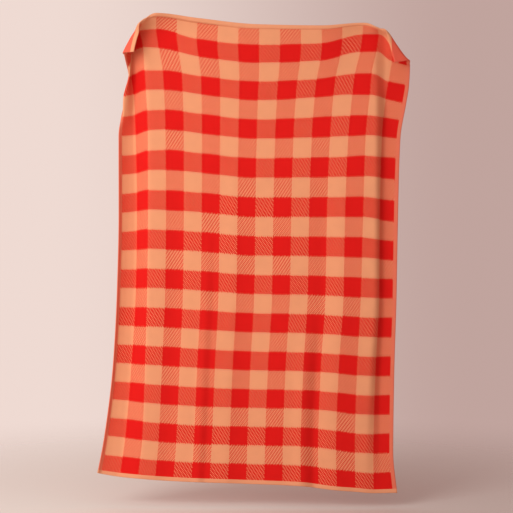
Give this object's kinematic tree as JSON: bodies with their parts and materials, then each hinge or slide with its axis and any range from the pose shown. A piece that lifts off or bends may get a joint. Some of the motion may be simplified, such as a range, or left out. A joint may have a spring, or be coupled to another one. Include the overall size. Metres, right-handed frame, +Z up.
{
  "type": "throw blanket",
  "caption": "Large checked knitted throw in red and peach, hanging open from its two upper corners, which are turned over to the front, with soft upright folds.",
  "frame": {"origin": "middle of the top edge, midway through the cloth", "axes": "+X to the right seen from the front, +Y from the front face to the reverse, +Z up, so the front faces -Y"},
  "size_m": [1.2985, 0.2204, 1.9686],
  "materials": {
    "knitted_cloth": "matt double-faced jacquard knit in red and peach checks, plain salmon reverse and side borders, narrow peach hems"
  },
  "bodies": {
    "root": {"blanket": "knitted_cloth"}
  },
  "joints": []
}
